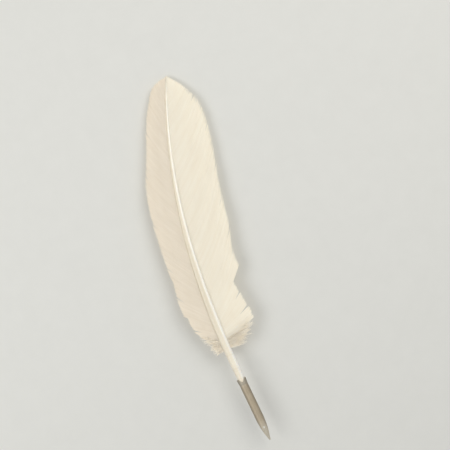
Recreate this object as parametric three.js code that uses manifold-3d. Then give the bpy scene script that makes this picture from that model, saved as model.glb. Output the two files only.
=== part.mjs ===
// A writing quill: a cured goose wing feather with a slip-on steel nib.
//
// Millimetres, +Z up. The origin is the nib's writing point. The barrel's axis is vertical and
// the feather rises from it, bending towards +X. The convex (outer) face of the feather and the
// crest of the nib face -Y.
import * as THREE from 'three';
import { mergeVertices } from 'three/addons/utils/BufferGeometryUtils.js';
import Module from 'manifold-3d';

// Shaft of the feather
const BARREL_END = 28; // cut end of the hollow barrel, inside the nib
const BARREL_RADIUS = 2.15; // where the nib slides
const NECK_BOTTOM = 43; // the barrel swells from here
const NECK_TOP = 50;
const GRIP_RADIUS = 2.4;
const GRIP_TOP = 60; // the barrel is round up to here
const RACHIS_RADII = [[75, 2.55], [92, 2.45], [120, 2.1], [150, 1.6], [185, 1.1], [210, 0.62]];
const SHAFT_TOP = 222;
const SHAFT_TIP_RADIUS = 0.26;
const BORE_SHARE = 0.78; // bore radius over shaft radius
const BORE_TOP = 190;
const PITH_BOTTOM = 67;
const PITH_TOP = 188;
const PITH_CLEARANCE = 0.1;
const SHAFT_SEGMENTS = 20;
const SHAFT_STEPS = 22;
const BORE_STEPS = 12;
const PITH_SEGMENTS = 12;
const RACHIS_BLEND = 14; // length over which the round barrel becomes the rachis
const RACHIS_SQUARENESS = 0.05;
const GROOVE_DEPTH = 0.12; // share of the radius
const GROOVE_HALF_ANGLE = 0.4;

// Bend of the feather
const BEND_START = 41;
const BEND_SPAN = 180;
const BEND_SIDEWAYS = 35.9;
const BEND_POWER = 2.3; // above 2, the bend tightens towards the tip
const BEND_BACKWARDS = 9;

// Vanes
const VANE_THICKNESS = 0.4;
const ROOT_CLEARANCE = 0.15;
const ROOT_FORWARD = 0.3; // how far in front of the shaft's axis the barbs grow, over its radius
const BARB_TURN = 0.35; // degrees that a barb turns towards the tip in each millimetre
const CAMBER = 4; // how far a vane's edge falls back
const CAMBER_WIDTH = 28; // at this distance from the shaft
const SPLIT = 0.3; // gap between two groups of barbs, along the shaft
const VANE_ROWS = 5; // facets along a barb

// Nib
const NIB_LENGTH = 40.8;
const NIB_RADIUS = 2.46; // to the middle of the sheet
const SHEET = 0.28;
const WRAP = THREE.MathUtils.degToRad(110); // half of the arc that the sheet wraps round the barrel
const POINT_HALF_ANGLE = THREE.MathUtils.degToRad(7);
const SHOULDER = 26; // the sheet reaches its full wrap here
const POINT_BEND_START = 12;
const POINT_DROP = 1;
const HEEL_NOTCH = 2.4;
const NOTCH_POWER = 1.3; // 1 would give the notch straight sides
const HEEL_EAR_ANGLE = THREE.MathUtils.degToRad(55);
const HEEL_FALL = 1.2; // how far the heel falls from its ears to its side edges
const HEEL_FLARE = 0.3;
const HEEL_FLARE_HEIGHT = 3.4;
const VENT_HEIGHT = 8.6;
const VENT_RADIUS = 0.5;
const VENT_CUT_LENGTH = 3;
const SLIT_HALF_WIDTH = 0.04;
const TINE_ROOT_GAP = 0.1;
const BODY_FACETS = [20, 14]; // across and along
const TINE_FACETS = [6, 8];
const VENT_SEGMENTS = 20;

const { degToRad, clamp, lerp, smoothstep } = THREE.MathUtils;

// Smooth curve through pairs of [height on the shaft, value].
function curveThrough(pairs) {
  const heights = pairs.map((pair) => pair[0]);
  const values = pairs.map((pair) => pair[1]);
  const curve = new THREE.CubicInterpolant(heights, values, 1);
  return (height) => curve.evaluate(height)[0];
}

// A side's angle is the barbs' angle to the shaft, in degrees.
const INNER_SIDE = {
  sign: 1,
  angle: curveThrough([
    [59, 95], [68, 75], [79, 52], [100, 46], [150, 42], [190, 36], [214, 24], [222, 5],
  ]),
};
const OUTER_SIDE = {
  sign: -1,
  angle: curveThrough([
    [59, 88], [68, 66], [79, 48], [100, 42], [150, 38], [190, 32], [214, 20], [222, 3],
  ]),
};

// Groups of barbs, each between two heights on the shaft. A group's barb lengths are pairs of
// [height, length]. Groups part where the real vane has come unzipped.
const BARB_GROUPS = [
  {
    name: 'inner_vane', side: INNER_SIDE, bottom: 80, top: 221.5, columns: 24,
    lengths: [
      [80, 34.8], [100, 43.2], [120, 47], [138, 48.2], [152, 47.4], [180, 37.4], [205, 18.8], [221.5, 4.4],
    ],
  },
  {
    name: 'inner_vane_lower_lobe', side: INNER_SIDE, bottom: 66, top: 80, columns: 6,
    lengths: [[66, 21.4], [73, 22.6], [80, 24]],
  },
  {
    name: 'inner_down', side: INNER_SIDE, bottom: 60.5, top: 66, columns: 4,
    lengths: [[60.5, 7], [63, 16], [66, 19.6]],
  },
  {
    name: 'outer_vane', side: OUTER_SIDE, bottom: 91, top: 221.5, columns: 22,
    lengths: [[91, 22.2], [110, 26.6], [134, 29.6], [165, 24.4], [195, 20.6], [207, 15.4], [221.5, 4]],
  },
  {
    name: 'outer_vane_middle_lobe', side: OUTER_SIDE, bottom: 75.5, top: 91, columns: 5,
    lengths: [[75.5, 19.5], [82, 22.6], [91, 22.4]],
  },
  {
    name: 'outer_vane_lower_lobe', side: OUTER_SIDE, bottom: 67, top: 75.5, columns: 4,
    lengths: [[67, 9.5], [71, 15], [75.5, 17]],
  },
  {
    name: 'outer_down', side: OUTER_SIDE, bottom: 60, top: 67, columns: 4,
    lengths: [[60, 4], [64, 7], [67, 8.6]],
  },
];

function bendShare(height) {
  return Math.max(0, height - BEND_START) / BEND_SPAN;
}

// Point on the shaft's centre line.
function shaftCentre(height) {
  const share = bendShare(height);
  return new THREE.Vector3(BEND_SIDEWAYS * share ** BEND_POWER, BEND_BACKWARDS * share ** 2, height);
}

// Lean of the shaft towards +X, from vertical.
function shaftLean(height) {
  const slope = (BEND_SIDEWAYS / BEND_SPAN) * BEND_POWER * bendShare(height) ** (BEND_POWER - 1);
  return Math.atan(slope);
}

// Radius of the shaft at a height.
const shaftRadius = curveThrough([
  [BARREL_END, BARREL_RADIUS],
  [NECK_BOTTOM, BARREL_RADIUS],
  [NECK_TOP, GRIP_RADIUS],
  [GRIP_TOP, GRIP_RADIUS],
  ...RACHIS_RADII,
  [SHAFT_TOP, SHAFT_TIP_RADIUS],
]);

// Carries a point of a straight shaft on to the bent one.
function bendPoint(point) {
  const centre = shaftCentre(point.z);
  const lean = shaftLean(point.z);
  return new THREE.Vector3(
    centre.x + point.x * Math.cos(lean),
    centre.y + point.y,
    centre.z - point.x * Math.sin(lean),
  );
}

function mapVertices(geometry, place) {
  const positions = geometry.attributes.position;
  const point = new THREE.Vector3();
  for (let i = 0; i < positions.count; i += 1) {
    point.fromBufferAttribute(positions, i);
    const placed = place(point);
    positions.setXYZ(i, placed.x, placed.y, placed.z);
  }
  geometry.computeVertexNormals();
  return geometry;
}

// Solid of revolution about +Z from [radius, height] pairs, with one facet square to +Y.
function turned(profile, segments) {
  const points = profile.map(([radius, height]) => new THREE.Vector2(radius, height));
  const geometry = new THREE.LatheGeometry(points, segments, -Math.PI / segments);
  return geometry.rotateX(Math.PI / 2);
}

function heightsBetween(bottom, top, steps) {
  return Array.from({ length: steps + 1 }, (_, i) => lerp(bottom, top, i / steps));
}

// The rachis turns from round to squarish above the grip, with a groove down its back.
function shapeRachis(point) {
  const angle = Math.atan2(point.x, -point.y);
  const share = smoothstep(point.z, GRIP_TOP, GRIP_TOP + RACHIS_BLEND);
  const square = -RACHIS_SQUARENESS * Math.cos(4 * angle);
  const fromBack = Math.PI - Math.abs(angle);
  const groove = -GROOVE_DEPTH * Math.exp(-((fromBack / GROOVE_HALF_ANGLE) ** 2));
  const factor = 1 + share * (square + groove);
  return new THREE.Vector3(point.x * factor, point.y * factor, point.z);
}

function quillShaft() {
  const barrel = [BARREL_END, NECK_BOTTOM, NECK_TOP];
  const outer = [...barrel, ...heightsBetween(GRIP_TOP, SHAFT_TOP, SHAFT_STEPS)];
  const bore = [BARREL_END, ...heightsBetween(GRIP_TOP, BORE_TOP, BORE_STEPS)];
  const profile = [
    [0, BORE_TOP],
    ...bore.map((height) => [BORE_SHARE * shaftRadius(height), height]).reverse(),
    ...outer.map((height) => [shaftRadius(height), height]),
    [0, SHAFT_TOP],
  ];
  const midWall = (1 + BORE_SHARE) / 2;
  const isOuter = (point) => Math.hypot(point.x, point.y) > midWall * shaftRadius(point.z);
  return mapVertices(turned(profile, SHAFT_SEGMENTS), (point) => (
    bendPoint(isOuter(point) ? shapeRachis(point) : point)
  ));
}

function rachisPith() {
  const heights = heightsBetween(PITH_BOTTOM, PITH_TOP, BORE_STEPS);
  const wall = heights.map((height) => [BORE_SHARE * shaftRadius(height) - PITH_CLEARANCE, height]);
  const profile = [[0, PITH_BOTTOM], ...wall, [0, PITH_TOP]];
  return mapVertices(turned(profile, PITH_SEGMENTS), bendPoint);
}

// Point on a barb: root is its height on the shaft, along runs from 0 at the shaft to 1 at its end.
function barbPoint(side, root, length, along) {
  const lean = shaftLean(root);
  const stand = shaftRadius(root) + ROOT_CLEARANCE;
  const centre = shaftCentre(root);
  const reach = length * along;
  const heading = lean + side.sign * degToRad(side.angle(root) - (BARB_TURN * reach) / 2);
  const outward = reach * Math.abs(Math.sin(heading - lean));
  return new THREE.Vector3(
    centre.x + side.sign * stand * Math.cos(lean) + reach * Math.sin(heading),
    centre.y - ROOT_FORWARD * shaftRadius(root) + CAMBER * (outward / CAMBER_WIDTH) ** 2,
    centre.z - side.sign * stand * Math.sin(lean) + reach * Math.cos(heading),
  );
}

// Thin cambered sheet over one group of barbs.
function barbGroup({ side, bottom, top, columns, lengths }) {
  const lengthAt = curveThrough(lengths);
  const sheet = new THREE.BoxGeometry(1, 1, 1, VANE_ROWS, columns, 1);
  return mapVertices(sheet, (point) => {
    const root = lerp(bottom + SPLIT / 2, top - SPLIT / 2, point.y + 0.5);
    const placed = barbPoint(side, root, lengthAt(root), point.x + 0.5);
    placed.y -= side.sign * point.z * VANE_THICKNESS;
    return placed;
  });
}

// Half of the arc that the nib's sheet covers at a height. It widens steadily from the point and
// eases into the full wrap at the shoulder.
function wrapAt(height) {
  const share = clamp(height / SHOULDER, 0, 1);
  return lerp(POINT_HALF_ANGLE, WRAP, (share * (3 - share ** 2)) / 2);
}

// Height of the nib's heel edge: a notch on the crest between two ears, falling to the sides.
function heelAt(angle) {
  const offCrest = Math.abs(angle);
  const towardsEar = clamp(offCrest / HEEL_EAR_ANGLE, 0, 1);
  const pastEar = clamp((offCrest - HEEL_EAR_ANGLE) / (WRAP - HEEL_EAR_ANGLE), 0, 1);
  const notch = HEEL_NOTCH * (1 - towardsEar ** NOTCH_POWER);
  return NIB_LENGTH - notch - HEEL_FALL * pastEar;
}

function flareAt(height, angle) {
  const rise = smoothstep(height, NIB_LENGTH - HEEL_FLARE_HEIGHT, NIB_LENGTH);
  return HEEL_FLARE * rise * Math.sin(clamp(Math.abs(angle), 0, Math.PI / 2));
}

// Point of the nib's sheet. The angle is measured from the crest, towards +X.
function nibPoint(angle, height, outward) {
  const radius = NIB_RADIUS + flareAt(height, angle) + outward;
  const drop = POINT_DROP * (Math.max(0, POINT_BEND_START - height) / POINT_BEND_START) ** 2;
  return new THREE.Vector3(radius * Math.sin(angle), drop - radius * Math.cos(angle), height);
}

function nibBodySheet() {
  const sheet = new THREE.BoxGeometry(1, 1, 1, ...BODY_FACETS, 1);
  return mapVertices(sheet, (point) => {
    const share = point.y + 0.5;
    const bottom = VENT_HEIGHT + TINE_ROOT_GAP / 2;
    const level = lerp(bottom, NIB_LENGTH, share);
    const angle = 2 * point.x * wrapAt(level);
    return nibPoint(angle, lerp(bottom, heelAt(angle), share), point.z * SHEET);
  });
}

function tineSheet(sign) {
  const sheet = new THREE.BoxGeometry(1, 1, 1, ...TINE_FACETS, 1);
  return mapVertices(sheet, (point) => {
    const height = lerp(0, VENT_HEIGHT - TINE_ROOT_GAP / 2, point.y + 0.5);
    const slitEdge = SLIT_HALF_WIDTH / NIB_RADIUS;
    const across = 0.5 + sign * point.x;
    const angle = sign * lerp(slitEdge, wrapAt(height), across);
    return nibPoint(angle, height, point.z * SHEET);
  });
}

const wasm = await Module();
wasm.setup();

function toManifold(geometry) {
  const bare = geometry.clone();
  bare.deleteAttribute('normal');
  bare.deleteAttribute('uv');
  const merged = mergeVertices(bare, 1e-4);
  return new wasm.Manifold(new wasm.Mesh({
    numProp: 3,
    vertProperties: new Float32Array(merged.attributes.position.array),
    triVerts: new Uint32Array(merged.index.array),
  }));
}

function toGeometry(manifold) {
  const mesh = manifold.getMesh();
  const geometry = new THREE.BufferGeometry();
  geometry.setAttribute('position', new THREE.BufferAttribute(mesh.vertProperties, 3));
  geometry.setIndex(new THREE.BufferAttribute(mesh.triVerts, 1));
  geometry.computeVertexNormals();
  return geometry;
}

// Cuts the vent hole, which is bored through the crest at the top of the slit.
function withVent(geometry) {
  const drill = new THREE.CylinderGeometry(VENT_RADIUS, VENT_RADIUS, VENT_CUT_LENGTH, VENT_SEGMENTS);
  drill.translate(0, -NIB_RADIUS, VENT_HEIGHT);
  return toGeometry(toManifold(geometry).subtract(toManifold(drill)));
}

function finish(color, roughness, metalness) {
  return new THREE.MeshStandardMaterial({ color, roughness, metalness });
}

const pen = new THREE.Group();

function add(name, geometry, material) {
  const mesh = new THREE.Mesh(geometry, material);
  mesh.name = name;
  pen.add(mesh);
}

add('quill_shaft', quillShaft(), finish(0xf3ecdd, 0.35, 0));
add('rachis_pith', rachisPith(), finish(0xf8f4ea, 0.9, 0));
for (const group of BARB_GROUPS) {
  add(group.name, barbGroup(group), finish(0xf0e6d6, 0.7, 0));
}
add('nib_body', withVent(nibBodySheet()), finish(0x8d7f68, 0.35, 1));
add('nib_left_tine', withVent(tineSheet(-1)), finish(0x8d7f68, 0.35, 1));
add('nib_right_tine', withVent(tineSheet(1)), finish(0x8d7f68, 0.35, 1));

// Puts the origin on the writing point.
pen.position.y = NIB_RADIUS - POINT_DROP;

export default pen;
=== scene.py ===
"""Looks for the quill pen: a goose feather on a slip-on steel nib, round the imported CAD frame.

Lengths are in millimetres until a mesh is made, and metres after that.
"""

import math

import bpy
import numpy as np
from mathutils import Matrix, Vector
from mathutils.geometry import delaunay_2d_cdt


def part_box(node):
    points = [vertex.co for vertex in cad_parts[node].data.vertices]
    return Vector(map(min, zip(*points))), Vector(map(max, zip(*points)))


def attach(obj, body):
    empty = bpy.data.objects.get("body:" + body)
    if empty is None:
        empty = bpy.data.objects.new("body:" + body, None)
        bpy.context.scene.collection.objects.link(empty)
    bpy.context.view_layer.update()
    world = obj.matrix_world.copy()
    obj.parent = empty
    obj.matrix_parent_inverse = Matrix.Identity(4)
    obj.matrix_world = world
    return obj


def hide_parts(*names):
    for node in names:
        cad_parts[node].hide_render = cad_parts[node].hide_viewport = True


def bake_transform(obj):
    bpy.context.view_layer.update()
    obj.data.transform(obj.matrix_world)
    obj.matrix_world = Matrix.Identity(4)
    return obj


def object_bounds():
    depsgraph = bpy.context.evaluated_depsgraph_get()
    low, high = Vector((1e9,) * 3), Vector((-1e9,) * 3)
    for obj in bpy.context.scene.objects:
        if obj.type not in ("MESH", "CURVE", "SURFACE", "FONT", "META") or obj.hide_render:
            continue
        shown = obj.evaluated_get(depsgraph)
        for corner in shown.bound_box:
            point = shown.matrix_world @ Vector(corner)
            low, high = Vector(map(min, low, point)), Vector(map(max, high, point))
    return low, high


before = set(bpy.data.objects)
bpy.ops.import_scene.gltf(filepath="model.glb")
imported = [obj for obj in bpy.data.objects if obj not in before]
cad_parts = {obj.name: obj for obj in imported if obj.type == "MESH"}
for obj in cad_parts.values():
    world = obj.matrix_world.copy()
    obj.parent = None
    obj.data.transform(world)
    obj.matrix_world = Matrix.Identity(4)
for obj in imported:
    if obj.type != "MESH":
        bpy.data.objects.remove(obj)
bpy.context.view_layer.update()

MM = 0.001


# ---------------------------------------------------------------- sizes from the frame

def box_mm(node):
    low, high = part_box(node)
    return np.array(low) / MM, np.array(high) / MM


BARREL_END = box_mm("quill_shaft")[0][2]
SHAFT_TOP = box_mm("quill_shaft")[1][2]
NIB_HEEL = box_mm("nib_body")[1][2]

# The CAD shaft's radii and bend
BARREL_RADIUS = 2.15
NECK_BOTTOM = 43
NECK_TOP = 50
GRIP_RADIUS = 2.4
GRIP_TOP = 60
RACHIS_RADII = [(GRIP_TOP, GRIP_RADIUS), (75, 2.55), (92, 2.45), (120, 2.1), (150, 1.6), (185, 1.1),
                (210, 0.62), (222, 0.26)]
BEND_START = 41
BEND_SPAN = 180
BEND_SIDEWAYS = 35.9
BEND_POWER = 2.3
BEND_BACKWARDS = 9

# The CAD vanes' barbs
ROOT_FORWARD = 0.3
BARB_TURN = 0.35
CAMBER = 4
CAMBER_WIDTH = 28

# The CAD nib
NIB_RADIUS = 2.46
SHEET = 0.28
WRAP = math.radians(110)
POINT_HALF_ANGLE = math.radians(7)
SHOULDER = 26
POINT_BEND_START = 12
POINT_DROP = 1
BARREL_AXIS_Y = NIB_RADIUS - POINT_DROP
HEEL_NOTCH = 2.4
NOTCH_POWER = 1.3
HEEL_EAR_ANGLE = math.radians(55)
HEEL_FALL = 1.2
HEEL_FLARE = 0.3
HEEL_FLARE_HEIGHT = 3.4
VENT_HEIGHT = 8.6
VENT_RADIUS = 0.5
SLIT_HALF_WIDTH = 0.04

# Pressed into the nib's sheet: a raised collar below the heel, with a crease under it
COLLAR_HEIGHT = 36.7
COLLAR_STEP = 0.5
COLLAR_RISE = 0.07
CREASE_DEPTH = 0.09
CREASE_WIDTH = 0.28

# Mesh of the nib's sheets
FILL_SPACING = 0.24
FILL_STRETCH = 1.4  # spacing along the nib, over the spacing across it
RIM_CLEARANCE = 0.45  # of the spacing
RIM_SPACING = 0.1
SHEET_CREASE = 0.6
SIDE_POINTS = 60
HEEL_POINTS = 160
ARC_POINTS = 16
SLIT_TOP_GAP = 0.01  # between the slit's uppermost point and the vent's edge
ONLY_INSIDE = 1  # the triangulation keeps only what lies in the outline
SAME_POINT = 1e-6


# ---------------------------------------------------------------- small helpers

def smoothstep(value, low, high):
    share = np.clip((value - low) / (high - low), 0, 1)
    return share * share * (3 - 2 * share)


def curve_through(pairs):
    """Smooth curve through (x, y) pairs, with each slope taken from the two neighbours."""
    x, y = np.array(pairs, float).T
    slope = np.gradient(y, x)

    def evaluate(at):
        at = np.clip(at, x[0], x[-1])
        i = np.clip(np.searchsorted(x, at) - 1, 0, len(x) - 2)
        step = x[i + 1] - x[i]
        t = (at - x[i]) / step
        return ((1 + 2 * t) * (1 - t) ** 2 * y[i] + t * (1 - t) ** 2 * step * slope[i]
                + t * t * (3 - 2 * t) * y[i + 1] + t * t * (t - 1) * step * slope[i + 1])

    return evaluate


def ripple(at, wavelength, seed):
    """Smooth wandering value between about -1 and 1, as a sum of sines with seeded phases."""
    draw = np.random.default_rng(seed)
    total = np.zeros_like(np.asarray(at, float))
    for octave in range(4):
        phase = draw.uniform(0, 2 * math.pi)
        stretch = draw.uniform(0.75, 1.35) * wavelength / 1.6 ** octave
        total = total + np.sin(2 * math.pi * np.asarray(at) / stretch + phase) / 1.5 ** octave
    return total / 2


def make_piece(name, points, faces, body, replaces, sharp_angle):
    """Makes one mesh piece from points in millimetres.

    A body of None leaves the piece unattached. Edges sharper than sharp_angle, in radians,
    are shaded sharp.
    """
    mesh = bpy.data.meshes.new(name)
    mesh.from_pydata((np.asarray(points) * MM).tolist(), [], faces)
    mesh.validate()
    mesh.polygons.foreach_set("use_smooth", [True] * len(mesh.polygons))
    mesh.set_sharp_from_angle(angle=sharp_angle)
    piece = bpy.data.objects.new(name, mesh)
    bpy.context.scene.collection.objects.link(piece)
    if body is not None:
        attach(piece, body)
    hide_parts(*replaces)
    return piece


def point_values(piece, name, values):
    """Stores one vector on each point, for the materials to read."""
    attribute = piece.data.attributes.new(name, "FLOAT_VECTOR", "POINT")
    attribute.data.foreach_set("vector", np.asarray(values, np.float32).ravel())


# ---------------------------------------------------------------- shaft of the feather

def bend_share(height):
    return np.maximum(0, np.asarray(height, float) - BEND_START) / BEND_SPAN


def shaft_centre(height):
    share = bend_share(height)
    return np.stack([
        BEND_SIDEWAYS * share ** BEND_POWER,
        BARREL_AXIS_Y + BEND_BACKWARDS * share ** 2,
        np.asarray(height, float),
    ], axis=-1)


def shaft_lean(height):
    slope = BEND_SIDEWAYS / BEND_SPAN * BEND_POWER * bend_share(height) ** (BEND_POWER - 1)
    return np.arctan(slope)


rachis_radius = curve_through(RACHIS_RADII)

SHAFT_CORNERS = 48
SHAFT_RINGS = 210
BORE_RINGS = 60
BORE_SHARE = 0.78  # of the shaft's radius
BORE_TOP = 190
LIP_HEIGHT = 0.12  # the barrel's cut edge is broken over this height
LIP_SHARE = 0.97
TIP_LENGTH = 2.5  # the shaft's upper end is rounded off over this length
TIP_FLAT = 0.05  # the end is closed this far below the top
SCRAPE_HEIGHT = 0.006  # unevenness of the surface, as a share of the radius. It fades in over the neck.
SCRAPE_LENGTH = 2.2
SCRAPE_AROUND = 3
SCRAPE_ALONG = 0.05
SHAFT_SEED = 11
SHAFT_CREASE = 0.7

# The rachis's section. Depths are shares of its radius, and widths are angles from the middle of its back.
SQUARING = 0.055
SQUARING_LENGTH = 14
GROOVE_DEPTH = 0.16
GROOVE_WIDTH = 0.34
DIMPLE_DEPTH = 0.24
DIMPLE_WIDTH = 0.42
DIMPLE_ABOVE_GRIP = 2
DIMPLE_LENGTH = 1.3


def shaft_radius(height):
    height = np.asarray(height, float)
    neck = BARREL_RADIUS + (GRIP_RADIUS - BARREL_RADIUS) * smoothstep(height, NECK_BOTTOM, NECK_TOP)
    return np.where(height < GRIP_TOP, neck, rachis_radius(height))


def ring_faces(rings, around):
    """Quads between rings of points that follow each other."""
    faces = []
    for ring in range(rings - 1):
        for i in range(around):
            j = (i + 1) % around
            low, high = ring * around, (ring + 1) * around
            faces.append((low + i, low + j, high + j, high + i))
    return faces


def closed_faces(rows, stations, corners):
    """Faces of closed tubes, each a row of stations with this many corners."""
    one = ring_faces(stations, corners)
    one.append(tuple(range(corners - 1, -1, -1)))
    last = (stations - 1) * corners
    one.append(tuple(last + i for i in range(corners)))
    size = stations * corners
    return [tuple(i + row * size for i in face) for row in range(rows) for face in one]


def rachis_outline(angle, height):
    """Radius factor of the shaft's section: round at the grip, squarish with a grooved back above.

    The dimple is the superior umbilicus, where the two vanes meet at the back of the shaft.
    """
    share = smoothstep(height, GRIP_TOP, GRIP_TOP + SQUARING_LENGTH)
    from_back = math.pi - np.abs(angle)
    square = -SQUARING * np.cos(4 * angle)
    groove = -GROOVE_DEPTH * np.exp(-(from_back / GROOVE_WIDTH) ** 2)
    above_dimple = (height - GRIP_TOP - DIMPLE_ABOVE_GRIP) / DIMPLE_LENGTH
    dimple = -DIMPLE_DEPTH * np.exp(-(from_back / DIMPLE_WIDTH) ** 2 - above_dimple ** 2)
    return 1 + share * (square + groove) + dimple


def build_shaft():
    angle = np.linspace(-math.pi, math.pi, SHAFT_CORNERS, endpoint=False)
    cut_edge = [BARREL_END, BARREL_END + LIP_HEIGHT]
    above_edge = np.linspace(BARREL_END + 1, SHAFT_TOP - TIP_FLAT, SHAFT_RINGS)
    outer = np.concatenate([cut_edge, above_edge])
    inner = np.linspace(BORE_TOP, BARREL_END, BORE_RINGS)

    def ring(height, factor):
        radius = shaft_radius(height) * factor
        across = radius * np.sin(angle)
        lean = shaft_lean(height)
        centre = shaft_centre(height)
        return np.stack([
            centre[0] + across * math.cos(lean),
            centre[1] - radius * np.cos(angle),
            centre[2] - across * math.sin(lean),
        ], axis=-1)

    rings = [ring(height, BORE_SHARE) for height in inner]
    for index, height in enumerate(outer):
        where = angle * SCRAPE_AROUND + SCRAPE_ALONG * height
        unevenness = SCRAPE_HEIGHT * ripple(where, SCRAPE_LENGTH, SHAFT_SEED)
        scrape = unevenness * smoothstep(height, NECK_BOTTOM - 1, NECK_TOP)
        lip = LIP_SHARE if index == 0 else 1
        taper = math.sqrt(min(1, (SHAFT_TOP - height) / TIP_LENGTH))
        rings.append(ring(height, taper * lip * (rachis_outline(angle, height) + scrape)))
    points = np.concatenate(rings)
    faces = closed_faces(1, len(rings), SHAFT_CORNERS)
    piece = make_piece("quill_shaft_horn", points, faces, "feather", ["quill_shaft"],
                       SHAFT_CREASE)
    heights = np.concatenate([inner, outer])
    values = np.zeros((len(heights), SHAFT_CORNERS, 3))
    values[..., 0] = np.sin(angle)
    values[..., 1] = np.cos(angle)
    values[..., 2] = heights[:, None]
    point_values(piece, "horn", values)
    return piece


# ---------------------------------------------------------------- barbs

class Side:
    """One side of the feather: which way its barbs run, and their angle to the shaft."""

    def __init__(self, sign, angles):
        self.sign = sign
        self.angle = curve_through(angles)

    def place(self, root, reach, stand):
        """Points on barbs: root is the height on the shaft, reach the distance along the barb."""
        lean = shaft_lean(root)
        radius = shaft_radius(root)
        heading = lean + self.sign * np.radians(self.angle(root) - BARB_TURN * reach / 2)
        outward = reach * np.abs(np.sin(heading - lean))
        centre = shaft_centre(root)
        start = self.sign * stand * radius
        return np.stack([
            centre[..., 0] + start * np.cos(lean) + reach * np.sin(heading),
            centre[..., 1] - ROOT_FORWARD * radius + CAMBER * (outward / CAMBER_WIDTH) ** 2,
            centre[..., 2] - start * np.sin(lean) + reach * np.cos(heading),
        ], axis=-1)


# Each pair is a height on the shaft and the barbs' angle to it there. The last angle on each side is
# below zero, so that the two vanes close over the end of the shaft.
INNER = Side(1, [(59, 95), (68, 75), (79, 52), (100, 46), (150, 42), (190, 36), (214, 24), (222, -1)])
OUTER = Side(-1, [(59, 88), (68, 66), (79, 48), (100, 42), (150, 38), (190, 32), (214, 20), (222, -5)])

ROOT_STAND = 0.72  # barbs start this far out in the shaft, over its radius, so their roots are buried
BARB_PITCH = 0.42  # along the shaft
LOBE_PITCH = 0.36
STATIONS = 22
STATION_POWER = 1.5  # puts the stations closer together towards the barb's tip
OVERLAP = 1.25  # width of a barb over the distance to the next
SHINGLE = 0.16  # how far each barb tilts on to the next
TIP_TAPER = 0.07  # share of the barb's length
TAPER_END = 0.04  # share of the taper that is left off, so that the barb's end keeps some width
TAPER_POWER = 0.7
ROOT_JITTER = 0.12  # share of the pitch
LENGTH_RIPPLE = 0.006  # share of the length
LENGTH_RIPPLE_SPAN = 4
LENGTH_JITTER = 0.13
LOOSE_FROM = 0.88  # the barbs' ends stray from here on, as a share of the length
LOOSE_JITTER = 0.10
KEEL_AT_TIP = 0.10
KEEL_GROWTH = 0.26  # from the tip to the root
KEEL_POWER = 1.3
KEEL_TAPER = 0.75
SHORT_KEEL = 0.4  # least share of the keel, on short barbs
FULL_KEEL_LENGTH = 25
BARB_CREASE = 0.8
PARTING_SPREAD = 2.2  # a parting's push fades over this distance along the shaft
PARTING_POWER = 1.4

# Waves of each vane's surface: height and wavelength. Their heights are those at WAVE_REACH.
WAVE_REACH = 45
LONG_WAVE = (0.35, 26)
SHORT_WAVE = (0.10, 5)
SLANTED_WAVE = (0.12, 17)
SLANT = 0.6

# Small steps that the surface's directions are measured over
REACH_STEP = 0.05
ROOT_STEP = 0.2

# Section of one barb: a low crown above and a deep keel below, with a thin web on each side.
SECTION = np.array([(-1, 0), (-0.24, 0.16), (0.24, 0.16), (1, 0), (0.2, -0.8), (-0.2, -0.8)])


def blade_mesh(centres, across, lift, half_width, depth):
    """Closed blades along rows of centre points, as points and faces."""
    rows, stations, _ = centres.shape
    points = (
        centres[:, :, None, :]
        + across[:, :, None, :] * (half_width[:, :, None] * SECTION[:, 0])[..., None]
        + lift[:, :, None, :] * (depth[:, :, None] * SECTION[:, 1])[..., None]
    )
    return points.reshape(-1, 3), closed_faces(rows, stations, len(SECTION))


def unit(vectors):
    return vectors / np.linalg.norm(vectors, axis=-1, keepdims=True)


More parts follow.
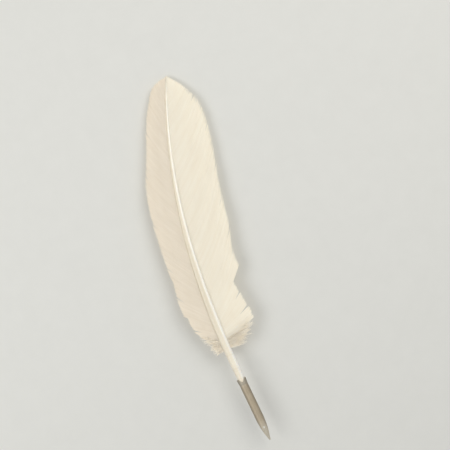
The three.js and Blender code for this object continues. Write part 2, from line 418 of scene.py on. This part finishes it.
def build_barbs(name, node, side, bottom, top, pitch, slot, seed, lengths, splits):
    """One group of hooked barbs. splits are the small partings, as BARB_GROUPS lists them."""
    draw = np.random.default_rng(seed)
    count = int(round((top - bottom) / pitch))
    roots = np.linspace(bottom, top, count) + draw.uniform(-ROOT_JITTER, ROOT_JITTER, count) * pitch
    length = curve_through(lengths)(roots)
    length = length * (1 + LENGTH_RIPPLE * ripple(roots, LENGTH_RIPPLE_SPAN, seed))
    length = length + draw.normal(0, LENGTH_JITTER, count)
    t = 1 - (1 - np.linspace(0, 1, STATIONS)) ** STATION_POWER
    root = np.repeat(roots[:, None], STATIONS, axis=1)
    reach = length[:, None] * t[None, :]

    def surface(root, reach):
        share = reach / WAVE_REACH
        points = side.place(root, reach, ROOT_STAND)
        long = LONG_WAVE[0] * ripple(root, LONG_WAVE[1], seed + 1) * share
        short = SHORT_WAVE[0] * ripple(root, SHORT_WAVE[1], seed + 2) * share
        slanted = SLANTED_WAVE[0] * ripple(reach + SLANT * root, SLANTED_WAVE[1], seed + 3) * share
        points[..., 1] += long + short + slanted
        return points

    centres = surface(root, reach)
    before = np.maximum(reach - REACH_STEP, -REACH_STEP)
    along = unit(surface(root, reach + REACH_STEP) - surface(root, before))
    step = surface(root + ROOT_STEP, reach) - surface(root - ROOT_STEP, reach)
    lift = unit(np.cross(step, along)) * -side.sign
    lift *= -np.sign(lift[..., 1:2])
    distal = unit(step - (step * along).sum(-1, keepdims=True) * along)
    spacing = np.abs((step * distal).sum(-1)) / (2 * ROOT_STEP) * pitch
    for height, start, opening in splits:
        away = roots[:, None] - height
        beyond = (reach - start) / np.maximum(length[:, None] - start, 1)
        open_share = np.clip(beyond, 0, 1) ** PARTING_POWER
        push = np.sign(away) * opening / 2 * np.exp(-np.abs(away) / PARTING_SPREAD) * open_share
        centres = centres + distal * push[..., None]
    loose = smoothstep(t, LOOSE_FROM, 1)[None, :, None]
    centres = centres + distal * draw.normal(0, LOOSE_JITTER, (count, 1, 1)) * loose
    centres = centres + lift * draw.normal(0, LOOSE_JITTER, (count, 1, 1)) * loose
    taper = np.clip((1 - t) / TIP_TAPER, TAPER_END, 1)[None, :] ** TAPER_POWER
    half_width = spacing / 2 * OVERLAP * taper
    keel_share = np.minimum(1, SHORT_KEEL + length[:, None] / FULL_KEEL_LENGTH)
    depth = (KEEL_AT_TIP + KEEL_GROWTH * (1 - t[None, :]) ** KEEL_POWER) * keel_share
    depth = depth * (1 - KEEL_TAPER + KEEL_TAPER * taper)
    tilted = unit(lift + SHINGLE * distal)
    across = unit(np.cross(along, tilted))
    points, faces = blade_mesh(centres, across, tilted, half_width, depth)
    piece = make_piece(name, points, faces, "feather", [node], BARB_CREASE)
    tone = draw.uniform(0, 1, count)
    values = np.stack([
        np.repeat(t[None, :], count, axis=0),
        root,
        np.repeat(tone[:, None], STATIONS, axis=1),
    ], axis=-1)
    point_values(piece, "barb", np.repeat(values[:, :, None, :], len(SECTION), axis=2))
    return piece


# Name, CAD node, side, lowest and highest root, pitch, material slot and seed. Then pairs of root height
# and barb length, and the small partings: root height, distance out where it starts, and width at the end.
BARB_GROUPS = [
    ("inner_vane_barbs", "inner_vane", INNER, 80.2, 221.6, BARB_PITCH, "inner_barbs", 21,
     [(80, 34.8), (100, 43.2), (120, 47), (138, 48.2), (152, 47.4), (180, 37.4), (205, 18.8), (221.6, 4.4)],
     [(96, 33, 1.0), (113, 37, 0.7), (131, 40, 0.9), (158, 39, 0.6), (187, 27, 0.7)]),
    ("inner_lobe_barbs", "inner_vane_lower_lobe", INNER, 66.2, 79.8, LOBE_PITCH, "inner_barbs", 22,
     [(66, 21.4), (73, 22.6), (80, 24)],
     [(70.5, 13, 1.6), (75.4, 16, 1.0)]),
    ("outer_vane_barbs", "outer_vane", OUTER, 91.2, 221.6, BARB_PITCH, "outer_barbs", 23,
     [(91, 22.2), (110, 26.6), (134, 29.6), (165, 24.4), (195, 20.6), (207, 15.4), (221.6, 4)],
     [(99, 17, 0.7), (121, 23, 0.7), (149, 23, 0.6), (176, 18, 0.7)]),
    ("outer_middle_lobe_barbs", "outer_vane_middle_lobe", OUTER, 75.7, 90.8, BARB_PITCH, "outer_barbs", 24,
     [(75.5, 19.5), (82, 22.6), (91, 22.4)],
     [(83, 15, 0.9)]),
    ("outer_lower_lobe_barbs", "outer_vane_lower_lobe", OUTER, 67.2, 75.3, LOBE_PITCH, "outer_barbs", 25,
     [(67, 9.5), (71, 15), (75.5, 17)],
     [(70.5, 8, 1.2)]),
]


# ---------------------------------------------------------------- down

DOWN_SEGMENTS = 10
DOWN_HALF_WIDTH = 0.26
DOWN_COUNT = 84  # stems in each patch
DOWN_LENGTHS = (0.6, 1.04)  # shares of the length given for each height
DOWN_WIDTHS = (0.6, 1.2)
DOWN_TAPER = 0.75
DOWN_THICKNESS = 0.5  # over the width
DOWN_FRINGE_PITCH = 0.5
DOWN_FRINGE_START = 0.05  # share of the stem's length
DOWN_DROOP = 0.4
DOWN_SWING = 2.0  # how far the stems' ends stray along the shaft
DOWN_SWING_BACK = 1.1  # and to the front and back
DOWN_CURL = 0.4
DOWN_CURL_TURNS = 8
DOWN_CURL_BACK = 0.3
DOWN_CURL_BACK_TURNS = 7
DOWN_CURL_POWER = 1.6
DOWN_BACK_SHIFT = 0.25
DOWN_TWIST = 0.35
DOWN_CREASE = 0.6
BARBULE_SEGMENTS = 3
BARBULE_LENGTHS = (0.7, 2.0)
BARBULE_SHORTENING = 0.4  # from the stem's root to its tip
BARBULE_RADIUS = 0.028
BARBULE_TAPER = 0.7
BARBULE_OUTWARD = 0.7
BARBULE_FORWARD = 0.6
BARBULE_SWEEP = 0.35
BARBULE_SPREAD = 0.25
BARBULE_DROOP = 0.2
THREAD_SIDES = 3
THREAD_TURN = np.array([0.31, -0.88, 0.36])  # the direction that the threads' sections are turned from


def thread_mesh(paths, radii):
    """Closed threads along rows of points. radii holds one value for each point."""
    rows, stations, _ = paths.shape
    along = unit(np.gradient(paths, axis=1))
    side = unit(np.cross(along, THREAD_TURN))
    up = np.cross(side, along)
    turn = 2 * math.pi * np.arange(THREAD_SIDES) / THREAD_SIDES
    ring = (side[:, :, None, :] * np.cos(turn)[None, None, :, None]
            + up[:, :, None, :] * np.sin(turn)[None, None, :, None])
    points = paths[:, :, None, :] + ring * radii[:, :, None, None]
    return points.reshape(-1, 3), closed_faces(rows, stations, THREAD_SIDES)


def build_down(name, node, side, bottom, top, seed, lengths):
    """Loose barbs: soft flat stems that wander and curl, each with a fringe of fine barbules."""
    draw = np.random.default_rng(seed)
    count = DOWN_COUNT
    roots = np.sort(draw.uniform(bottom, top, count))
    length = curve_through(lengths)(roots) * draw.uniform(*DOWN_LENGTHS, count)
    t = np.linspace(0, 1, DOWN_SEGMENTS + 1)
    reach = length[:, None] * t
    stems = side.place(np.repeat(roots[:, None], len(t), axis=1), reach, ROOT_STAND)
    spin = draw.uniform(0, 2 * math.pi, (count, 2))
    swing = draw.uniform(-1, 1, (count, 2))
    curl = (t ** DOWN_CURL_POWER)[None, :]
    stray = curl * (DOWN_SWING * swing[:, :1] - DOWN_DROOP)
    stems[..., 2] += stray + DOWN_CURL * curl * np.sin(DOWN_CURL_TURNS * t + spin[:, :1])
    stray_back = DOWN_BACK_SHIFT + curl * DOWN_SWING_BACK * swing[:, 1:]
    curl_back = DOWN_CURL_BACK * curl * np.cos(DOWN_CURL_BACK_TURNS * t + spin[:, 1:])
    stems[..., 1] += stray_back + curl_back
    along = unit(np.gradient(stems, axis=1))
    facing = unit(np.array([0, -1.0, 0]) + DOWN_TWIST * draw.normal(0, 1, (count, 1, 3)))
    across = unit(np.cross(along, facing))
    lift = np.cross(across, along)
    taper = (1 - DOWN_TAPER * t ** 2)[None, :]
    half_width = DOWN_HALF_WIDTH * taper * draw.uniform(*DOWN_WIDTHS, (count, 1))
    points, faces = blade_mesh(stems, across, lift, half_width, DOWN_THICKNESS * half_width)

    per_stem = (length / DOWN_FRINGE_PITCH).astype(int)
    owner = np.repeat(np.arange(count), per_stem * 2)
    place = draw.uniform(DOWN_FRINGE_START, 1.0, len(owner))
    at = place * DOWN_SEGMENTS
    low = np.minimum(at.astype(int), DOWN_SEGMENTS - 1)
    part = (at - low)[:, None]
    start = stems[owner, low] * (1 - part) + stems[owner, low + 1] * part
    flip = np.where(np.arange(len(owner)) % 2 == 0, 1.0, -1.0)[:, None]
    out = unit(across[owner, low] * flip + draw.normal(0, BARBULE_SPREAD, (len(owner), 3)))
    size = (draw.uniform(*BARBULE_LENGTHS, len(owner)) * (1 - BARBULE_SHORTENING * place))[:, None]
    droop = draw.normal(0, BARBULE_DROOP, (len(owner), 3))
    u = np.linspace(0, 1, BARBULE_SEGMENTS + 1)[None, :, None]
    stem_way = along[owner, low]
    heading = BARBULE_OUTWARD * out + BARBULE_FORWARD * stem_way
    bending = BARBULE_SWEEP * stem_way + droop
    paths = (start[:, None, :] + size[:, :, None] * u * heading[:, None, :]
             + size[:, :, None] * u ** 2 * bending[:, None, :])
    radii = BARBULE_RADIUS * (1 - BARBULE_TAPER * u[..., 0]) * np.ones((len(owner), 1))
    fringe, fringe_faces = thread_mesh(paths, radii)
    offset = len(points)
    faces += [tuple(i + offset for i in face) for face in fringe_faces]
    points = np.concatenate([points, fringe])
    return make_piece(name, points, faces, "feather", [node], DOWN_CREASE)


# Name, CAD node, side, lowest and highest root, seed, then pairs of root height and stem length
DOWN_GROUPS = [
    ("inner_down_barbs", "inner_down", INNER, 59.8, 67.5, 31, [(59, 8), (62, 14), (65, 19), (68, 21)]),
    ("outer_down_barbs", "outer_down", OUTER, 59.6, 69, 32, [(59, 5), (64, 9), (67, 10.5), (70, 12)]),
]


# ---------------------------------------------------------------- nib

def wrap_at(height):
    share = np.clip(height / SHOULDER, 0, 1)
    return POINT_HALF_ANGLE + (WRAP - POINT_HALF_ANGLE) * share * (3 - share ** 2) / 2


def heel_at(angle):
    off_crest = np.abs(angle)
    towards_ear = np.clip(off_crest / HEEL_EAR_ANGLE, 0, 1)
    past_ear = np.clip((off_crest - HEEL_EAR_ANGLE) / (WRAP - HEEL_EAR_ANGLE), 0, 1)
    return NIB_HEEL - HEEL_NOTCH * (1 - towards_ear ** NOTCH_POWER) - HEEL_FALL * past_ear


def nib_surface(angle, height, outward):
    """Points on the formed sheet. The angle is measured from the crest, towards +X."""
    rise = smoothstep(height, NIB_HEEL - HEEL_FLARE_HEIGHT, NIB_HEEL)
    flare = HEEL_FLARE * rise * np.sin(np.clip(np.abs(angle), 0, math.pi / 2))
    collar = COLLAR_RISE * smoothstep(height, COLLAR_HEIGHT, COLLAR_HEIGHT + COLLAR_STEP)
    crease = -CREASE_DEPTH * np.exp(-((height - COLLAR_HEIGHT) / CREASE_WIDTH) ** 2)
    radius = NIB_RADIUS + flare + collar + crease + outward
    drop = POINT_DROP * (np.maximum(0, POINT_BEND_START - height) / POINT_BEND_START) ** 2
    return np.stack([
        radius * np.sin(angle),
        BARREL_AXIS_Y + drop - radius * np.cos(angle),
        height,
    ], axis=-1)


def resample(outline, spacing):
    """The closed outline with points at even spacing along each of its straight runs."""
    points = []
    for here, there in zip(outline, np.roll(outline, -1, axis=0)):
        steps = max(1, int(np.ceil(np.linalg.norm(there - here) / spacing)))
        points += [here + (there - here) * i / steps for i in range(steps)]
    return np.array(points)


def inside(points, outline):
    """Which points lie in the outline, by counting the edges that a ray crosses."""
    x, y = points[:, None, 0], points[:, None, 1]
    x0, y0 = outline[None, :, 0], outline[None, :, 1]
    x1, y1 = np.roll(outline, -1, axis=0)[None, :, 0], np.roll(outline, -1, axis=0)[None, :, 1]
    spans = (y0 > y) != (y1 > y)
    with np.errstate(divide="ignore", invalid="ignore"):
        cross = x < (x1 - x0) * (y - y0) / (y1 - y0) + x0
    return (spans & cross).sum(1) % 2 == 1


def distance_to(points, outline):
    return np.linalg.norm(points[:, None, :] - outline[None, :, :], axis=-1).min(1)


def formed_sheet(name, outline, body, replaces):
    """A blank with this flat outline, in millimetres across and along, formed to the nib's surface."""
    rim = resample(np.asarray(outline, float), RIM_SPACING)
    low, high = rim.min(0), rim.max(0)
    columns = np.arange(low[0], high[0], FILL_SPACING)
    rows = np.arange(low[1], high[1], FILL_SPACING * FILL_STRETCH)
    xs, ys = np.meshgrid(columns, rows)
    fill = np.stack([xs.ravel(), ys.ravel()], axis=-1)
    fill = fill[inside(fill, rim)]
    fill = fill[distance_to(fill, rim) > RIM_CLEARANCE * FILL_SPACING]
    flat = np.concatenate([rim, fill])
    found = delaunay_2d_cdt([Vector(p) for p in flat], [], [list(range(len(rim)))], ONLY_INSIDE, SAME_POINT)
    flat = np.array([tuple(v) for v in found[0]])
    count = len(flat)
    top = nib_surface(flat[:, 0] / NIB_RADIUS, flat[:, 1], SHEET / 2)
    under = nib_surface(flat[:, 0] / NIB_RADIUS, flat[:, 1], -SHEET / 2)
    faces, edges = [], []
    for face in found[2]:
        a, b, c = face
        area = np.cross(flat[b] - flat[a], flat[c] - flat[a])
        a, b, c = (a, b, c) if area > 0 else (a, c, b)
        faces.append((a, b, c))
        faces.append((c + count, b + count, a + count))
        edges += [(a, b), (b, c), (c, a)]
    known = set(edges)
    faces += [(b, a, a + count, b + count) for a, b in edges if (b, a) not in known]
    points = np.concatenate([top, under])
    return make_piece(name, points, faces, body, replaces, SHEET_CREASE)


def side_edge(low, high, sign):
    heights = np.linspace(low, high, SIDE_POINTS)
    return np.stack([sign * NIB_RADIUS * wrap_at(heights), heights], axis=-1)


def vent_arc(start, end):
    turn = np.radians(np.linspace(start, end, ARC_POINTS))
    return np.stack([VENT_RADIUS * np.cos(turn), VENT_HEIGHT + VENT_RADIUS * np.sin(turn)], axis=-1)


def build_nib_body():
    right = side_edge(VENT_HEIGHT, heel_at(WRAP), 1)
    angles = np.linspace(WRAP, -WRAP, HEEL_POINTS)
    heel = np.stack([NIB_RADIUS * angles, heel_at(angles)], axis=-1)
    left = side_edge(VENT_HEIGHT, heel_at(WRAP), -1)[::-1]
    outline = np.concatenate([right[:-1], heel[:-1], left, vent_arc(180, 0)])
    return formed_sheet("nib_sheet", outline, "nib", ["nib_body"])


def build_tine(name, node, sign):
    outer = side_edge(0, VENT_HEIGHT, sign)
    slit_top = VENT_HEIGHT - math.sqrt(VENT_RADIUS ** 2 - SLIT_HALF_WIDTH ** 2) - SLIT_TOP_GAP
    lowest = -90 + math.degrees(math.asin(SLIT_HALF_WIDTH / VENT_RADIUS))
    arc = vent_arc(0, lowest) * np.array([sign, 1])
    slit = np.array([(sign * SLIT_HALF_WIDTH, slit_top), (sign * SLIT_HALF_WIDTH, 0)])
    outline = np.concatenate([outer, arc, slit])
    return formed_sheet(name, outline, None, [node])


shaft = build_shaft()
barbs = [build_barbs(*group) for group in BARB_GROUPS]
down = [build_down(*group) for group in DOWN_GROUPS]
nib_sheet = build_nib_body()
tines = []
for tine_sign, tine_body in ((-1, "left_tine"), (1, "right_tine")):
    tine = build_tine(tine_body + "_sheet", "nib_" + tine_body, tine_sign)
    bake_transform(tine)
    tines.append(tine)


# ---------------------------------------------------------------- materials

class Shader:
    """A material's node tree, with a short call for each node that it needs."""

    def __init__(self, name):
        self.material = bpy.data.materials.new(name)
        self.material.use_nodes = True
        self.tree = self.material.node_tree
        self.tree.nodes.clear()
        self.output = self.tree.nodes.new("ShaderNodeOutputMaterial")

    def node(self, kind, inputs=None, **settings):
        made = self.tree.nodes.new("ShaderNode" + kind)
        for key, value in settings.items():
            setattr(made, key, value)
        for key, value in (inputs or {}).items():
            if isinstance(value, bpy.types.NodeSocket):
                self.tree.links.new(value, made.inputs[key])
            else:
                made.inputs[key].default_value = value
        return made

    def math(self, operation, a, b=0.0, c=0.0):
        return self.node("Math", {0: a, 1: b, 2: c}, operation=operation).outputs[0]

    def mix(self, share, a, b):
        made = self.node("Mix", {0: share, 6: a, 7: b}, data_type="RGBA")
        return made.outputs[2]

    def remap(self, value, low, high, to_low=0.0, to_high=1.0):
        made = self.node("MapRange", {0: value, 1: low, 2: high, 3: to_low, 4: to_high}, clamp=True)
        return made.outputs[0]

    def noise(self, where, scale, detail=2.0, roughness=0.5):
        inputs = {"Vector": where, "Scale": scale, "Detail": detail, "Roughness": roughness}
        return self.node("TexNoise", inputs).outputs["Fac"]

    def stretch(self, where, factors):
        return self.node("VectorMath", {0: where, 1: factors}, operation="MULTIPLY").outputs[0]

    def surface(self, socket):
        self.tree.links.new(socket, self.output.inputs["Surface"])
        return self.material


def rgb(red, green, blue):
    """A display colour, 0 to 255, as the linear value that nodes take."""
    def linear(value):
        value /= 255
        return value / 12.92 if value <= 0.04045 else ((value + 0.055) / 1.055) ** 2.4
    return (linear(red), linear(green), linear(blue), 1)


def barb_material(name, pale, deep, translucency, root_shade):
    """Feather barbs: streaks that run along the barbs, each barb a little different.

    root_shade is how strong the painted shade is where the barbs leave the shaft.
    """
    s = Shader(name)
    barb = s.node("Attribute", attribute_name="barb").outputs["Vector"]
    split = s.node("SeparateXYZ", {0: barb})
    along, tone = split.outputs[0], split.outputs[2]
    streak = s.noise(s.stretch(barb, (1.4, 0.55, 0)), 1.0, 4, 0.6)
    bands = s.noise(s.stretch(barb, (3.0, 0.09, 0)), 1.0, 2, 0.5)
    share = s.math("MULTIPLY_ADD", streak, 0.55, s.math("MULTIPLY", bands, 0.35))
    share = s.math("MULTIPLY_ADD", tone, 0.16, share)
    colour = s.mix(s.remap(share, 0.3, 0.75), deep, pale)
    # Painted shade: the barbs darken towards 0.9 of the deep colour where they leave the shaft.
    painted_root_shade = s.remap(along, 0.0, 0.3, root_shade, 0.0)
    colour = s.mix(painted_root_shade, colour, tuple(0.9 * c for c in deep[:3]) + (1,))
    where = s.node("TexCoord").outputs["Object"]
    barbules = s.noise(where, 9000, 1, 0.5)
    bump = s.node("Bump", {"Strength": 0.25, "Distance": 0.03 * MM, "Height": barbules})
    solid = s.node("BsdfPrincipled", {
        "Base Color": colour,
        "Roughness": s.remap(streak, 0.3, 0.7, 0.5, 0.66),
        "Sheen Weight": 0.25,
        "Sheen Roughness": 0.4,
        "Specular IOR Level": 0.35,
        "Normal": bump.outputs[0],
    })
    through = s.node("BsdfTranslucent", {"Color": colour})
    both = s.node("MixShader", {0: translucency, 1: solid.outputs[0], 2: through.outputs[0]})
    return s.surface(both.outputs[0])


# Heights between which the horn's colour changes
BARREL_TO_RACHIS = (50, 85)
HOLLOW_END = (58, 62)
LIT_SIDE_WIDENS = (110, 180)
LIT_SIDE_FADES = (110, 160)


def horn_material():
    """Cured feather horn: warm at the barrel and paler along the rachis, with fine long streaks."""
    s = Shader("feather_horn")
    where = s.node("TexCoord").outputs["Object"]
    horn = s.node("Attribute", attribute_name="horn").outputs["Vector"]
    split = s.node("SeparateXYZ", {0: horn})
    across, height = split.outputs[0], split.outputs[2]
    streak = s.noise(s.stretch(where, (2600, 2600, 45)), 1.0, 3, 0.6)
    cloud = s.noise(s.stretch(where, (300, 300, 60)), 1.0, 3, 0.5)
    barrel = s.mix(streak, rgb(232, 221, 198), rgb(246, 239, 222))
    rachis = s.mix(streak, rgb(233, 225, 206), rgb(245, 239, 224))
    up_shaft = s.remap(height, *BARREL_TO_RACHIS)
    colour = s.mix(up_shaft, barrel, rachis)
    # The shaft's +X side gets a painted highlight, near white, which spreads towards the middle and dims
    # higher up. The other side and the back get beige that is partly the horn's own tone and partly painted
    # shade; it is weaker on the barrel.
    shifted = s.math("ADD", across, s.remap(height, *LIT_SIDE_WIDENS, 0, 0.55))
    edge = s.math("MULTIPLY_ADD", streak, 0.5, shifted)
    painted_highlight = s.math("MULTIPLY", s.remap(edge, 0.45, 0.95), s.remap(height, *LIT_SIDE_FADES, 1, 0.5))
    colour = s.mix(painted_highlight, colour, rgb(255, 251, 240))
    beige_and_shade = s.math("MULTIPLY", s.remap(edge, 0.85, 0.25), s.remap(height, *BARREL_TO_RACHIS, 0.25, 1))
    colour = s.mix(beige_and_shade, colour, rgb(222, 211, 188))
    colour = s.mix(s.remap(cloud, 0.5, 0.8, 0, 0.3), colour, rgb(230, 216, 190))
    pulp = s.noise(s.stretch(horn, (0.5, 0.5, 0.9)), 1.0, 2, 0.4)
    in_barrel = s.remap(height, *HOLLOW_END, 0.2, 0)
    colour = s.mix(s.math("MULTIPLY", s.remap(pulp, 0.5, 0.7), in_barrel), colour, rgb(214, 196, 162))
    bump = s.node("Bump", {"Strength": 0.3, "Distance": 0.06 * MM, "Height": streak})
    solid = s.node("BsdfPrincipled", {
        "Base Color": colour,
        "Roughness": s.remap(cloud, 0.3, 0.7, 0.24, 0.4),
        "Subsurface Weight": 0.15,
        "Subsurface Radius": (1.0, 0.8, 0.6),
        "Subsurface Scale": 0.3 * MM,
        "Coat Weight": 0.2,
        "Coat Roughness": 0.2,
        "Normal": bump.outputs[0],
    })
    return s.surface(solid.outputs[0])


def pith_material():
    s = Shader("rachis_pith_foam")
    where = s.node("TexCoord").outputs["Object"]
    cells = s.node("TexVoronoi", {"Vector": where, "Scale": 5000.0}).outputs["Distance"]
    colour = s.mix(cells, rgb(236, 229, 212), rgb(252, 249, 240))
    bump = s.node("Bump", {"Strength": 0.5, "Distance": 0.1 * MM, "Height": cells})
    solid = s.node("BsdfPrincipled", {"Base Color": colour, "Roughness": 0.9, "Normal": bump.outputs[0]})
    return s.surface(solid.outputs[0])


def down_material():
    s = Shader("feather_down")
    where = s.node("TexCoord").outputs["Object"]
    cloud = s.noise(where, 260, 2, 0.5)
    colour = s.mix(cloud, rgb(250, 244, 232), rgb(255, 253, 248))
    solid = s.node("BsdfPrincipled", {"Base Color": colour, "Roughness": 0.7, "Sheen Weight": 0.6})
    through = s.node("BsdfTranslucent", {"Color": colour})
    both = s.node("MixShader", {0: 0.6, 1: solid.outputs[0], 2: through.outputs[0]})
    return s.surface(both.outputs[0])


def nib_material():
    """Bronze-coloured plating on steel: brown along the body, greyer at the point and the heel."""
    s = Shader("nib_bronze_plated_steel")
    where = s.node("TexCoord").outputs["Object"]
    height = s.node("SeparateXYZ", {0: where}).outputs[2]
    brushed = s.noise(s.stretch(where, (9000, 9000, 500)), 1.0, 3, 0.6)
    cloud = s.noise(where, 420, 4, 0.6)
    bronze = s.mix(cloud, rgb(166, 152, 130), rgb(194, 181, 158))
    steel = s.mix(cloud, rgb(190, 182, 164), rgb(220, 212, 194))
    collar_steel = s.mix(cloud, rgb(164, 156, 140), rgb(192, 184, 168))
    point = s.remap(s.math("MULTIPLY_ADD", cloud, 4 * MM, height), 16 * MM, 10 * MM)
    heel = s.remap(s.math("MULTIPLY_ADD", cloud, 2 * MM, height), 36.5 * MM, 38.5 * MM)
    colour = s.mix(s.math("MULTIPLY", point, 0.75), bronze, steel)
    colour = s.mix(s.math("MULTIPLY", heel, 0.8), colour, collar_steel)
    # Painted highlight: the colour turns paler along the sharp edges.
    edge_highlight = s.node("NewGeometry").outputs["Pointiness"]
    colour = s.mix(s.remap(edge_highlight, 0.52, 0.62, 0, 0.5), colour, rgb(205, 196, 176))
    spots = s.remap(s.noise(where, 1500, 3, 0.7), 0.62, 0.72, 0, 0.5)
    colour = s.mix(spots, colour, rgb(96, 82, 62))
    bump = s.node("Bump", {"Strength": 0.2, "Distance": 0.02 * MM, "Height": brushed})
    solid = s.node("BsdfPrincipled", {
        "Base Color": colour,
        "Metallic": 0.85,
        "Roughness": s.remap(brushed, 0.3, 0.7, 0.46, 0.6),
        "Normal": bump.outputs[0],
    })
    return s.surface(solid.outputs[0])


def paint(piece, material):
    piece.data.materials.clear()
    piece.data.materials.append(material)


INNER_SKIN = barb_material("inner_barb_keratin", rgb(254, 250, 238), rgb(248, 241, 225), 0.35, 0.05)
# Painted shade: the outer barbs are the same keratin as the inner ones, with darker colours.
OUTER_SKIN = barb_material("outer_barb_keratin", rgb(247, 239, 224), rgb(237, 227, 209), 0.3, 0.1)
for piece in barbs:
    paint(piece, INNER_SKIN if piece.name.startswith("inner") else OUTER_SKIN)
DOWN_SKIN = down_material()
for piece in down:
    paint(piece, DOWN_SKIN)
paint(shaft, horn_material())
NIB_SKIN = nib_material()
for piece in [nib_sheet, *tines]:
    paint(piece, NIB_SKIN)
PITH_SKIN = pith_material()
for material_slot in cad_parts["rachis_pith"].material_slots:
    material_slot.material = PITH_SKIN


# ---------------------------------------------------------------- stage, light and camera

VIEW_CENTRE = Vector((31.24, 0, 127.9)) * MM
VIEW_WIDTH = 270 * MM
BARREL_TILT = math.radians(25.6)  # how far the camera sees the barrel lean
LENS = 100
SENSOR = 36
FLOOR_GAP = 2.0 * MM
FLOOR_REACH = 1.2  # half of the floor's side, in metres
SEEN_ANGLES = (0.12, 0.4)  # the floor fades in between these cosines of the viewing angle

# Strength of the light from all round. It changes between these directions' Y.
FRONT_Y, FRONT_GLOW = -0.8, 0.6
BACK_Y, BACK_GLOW = 0.8, 0.5

# Name, place, diameter, power and colour, in metres and watts
LIGHTS = [
    ("key", (0.42, -0.62, 0.35), 0.6, 2.35, (1, 0.985, 0.96)),
    ("fill", (-0.5, -0.6, 0.25), 0.5, 2.3, (0.98, 0.99, 1)),
    ("rear", (-0.35, 0.6, 0.4), 0.5, 2.6, (1, 0.975, 0.93)),
]


def build_floor():
    """The pale surface that the pen lies on. It is clear from behind and from its own edge."""
    low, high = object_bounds()
    centre = (low + high) / 2
    corners = [(centre.x + sx * FLOOR_REACH, high.y + FLOOR_GAP, centre.z + sz * FLOOR_REACH)
               for sx, sz in ((-1, -1), (1, -1), (1, 1), (-1, 1))]
    mesh = bpy.data.meshes.new("pale_floor")
    mesh.from_pydata(corners, [], [(0, 1, 2, 3)])
    floor = bpy.data.objects.new("pale_floor", mesh)
    bpy.context.scene.collection.objects.link(floor)
    s = Shader("pale_floor")
    where = s.node("TexCoord").outputs["Object"]
    grain = s.noise(where, 120, 4, 0.6)
    paper = s.node("BsdfDiffuse", {"Color": s.mix(grain, rgb(212, 211, 205), rgb(217, 216, 210))})
    clear = s.node("BsdfTransparent")
    geometry = s.node("NewGeometry")
    facing = s.node("VectorMath", {0: geometry.outputs["Normal"], 1: geometry.outputs["Incoming"]},
                    operation="DOT_PRODUCT").outputs["Value"]
    face_on = s.remap(facing, *SEEN_ANGLES)
    from_front = s.math("SUBTRACT", 1.0, geometry.outputs["Backfacing"])
    seen = s.math("MULTIPLY", face_on, from_front)
    both = s.node("MixShader", {0: seen, 1: clear.outputs[0], 2: paper.outputs[0]})
    paint(floor, s.surface(both.outputs[0]))
    floor.visible_shadow = False
    floor.visible_diffuse = False
    floor.visible_glossy = False


def add_light(name, place, size, power, tint):
    """A round area light that points at the middle of the view."""
    data = bpy.data.lights.new(name, "AREA")
    data.shape = "DISK"
    data.size = size
    data.energy = power
    data.color = tint
    light = bpy.data.objects.new(name, data)
    light.location = place
    light.rotation_mode = "QUATERNION"
    light.rotation_quaternion = (VIEW_CENTRE - Vector(place)).to_track_quat("-Z", "Y")
    bpy.context.scene.collection.objects.link(light)


def build_world():
    """Soft light from all round, a little stronger from the front. The camera sees plain pale grey."""
    world = bpy.data.worlds.new("studio")
    world.use_nodes = True
    tree = world.node_tree
    seen = tree.nodes["Background"]
    seen.inputs["Color"].default_value = rgb(214, 213, 207)
    lit = tree.nodes.new("ShaderNodeBackground")
    lit.inputs["Color"].default_value = rgb(246, 248, 250)
    direction = tree.nodes.new("ShaderNodeTexCoord")
    parts = tree.nodes.new("ShaderNodeSeparateXYZ")
    strength = tree.nodes.new("ShaderNodeMapRange")
    tree.links.new(direction.outputs["Generated"], parts.inputs[0])
    tree.links.new(parts.outputs["Y"], strength.inputs["Value"])
    ends = {"From Min": FRONT_Y, "From Max": BACK_Y, "To Min": FRONT_GLOW, "To Max": BACK_GLOW}
    for key, value in ends.items():
        strength.inputs[key].default_value = value
    tree.links.new(strength.outputs[0], lit.inputs["Strength"])
    ray = tree.nodes.new("ShaderNodeLightPath")
    both = tree.nodes.new("ShaderNodeMixShader")
    tree.links.new(ray.outputs["Is Camera Ray"], both.inputs[0])
    tree.links.new(lit.outputs[0], both.inputs[1])
    tree.links.new(seen.outputs[0], both.inputs[2])
    tree.links.new(both.outputs[0], tree.nodes["World Output"].inputs["Surface"])
    bpy.context.scene.world = world


def build_camera():
    right = Vector((math.cos(BARREL_TILT), 0, -math.sin(BARREL_TILT)))
    up = Vector((math.sin(BARREL_TILT), 0, math.cos(BARREL_TILT)))
    back = Vector((0, -1, 0))
    data = bpy.data.cameras.new("camera")
    data.lens = LENS
    data.sensor_width = SENSOR
    camera = bpy.data.objects.new("camera", data)
    distance = VIEW_WIDTH / 2 / (SENSOR / 2 / LENS)
    turn = Matrix((right, up, back)).transposed().to_4x4()
    camera.matrix_world = Matrix.Translation(VIEW_CENTRE + back * distance) @ turn
    bpy.context.scene.collection.objects.link(camera)
    bpy.context.scene.camera = camera


build_floor()
build_world()
build_camera()
for light_name, place, size, power, tint in LIGHTS:
    add_light(light_name, place, size, power, tint)
bpy.context.scene.view_settings.view_transform = "Standard"
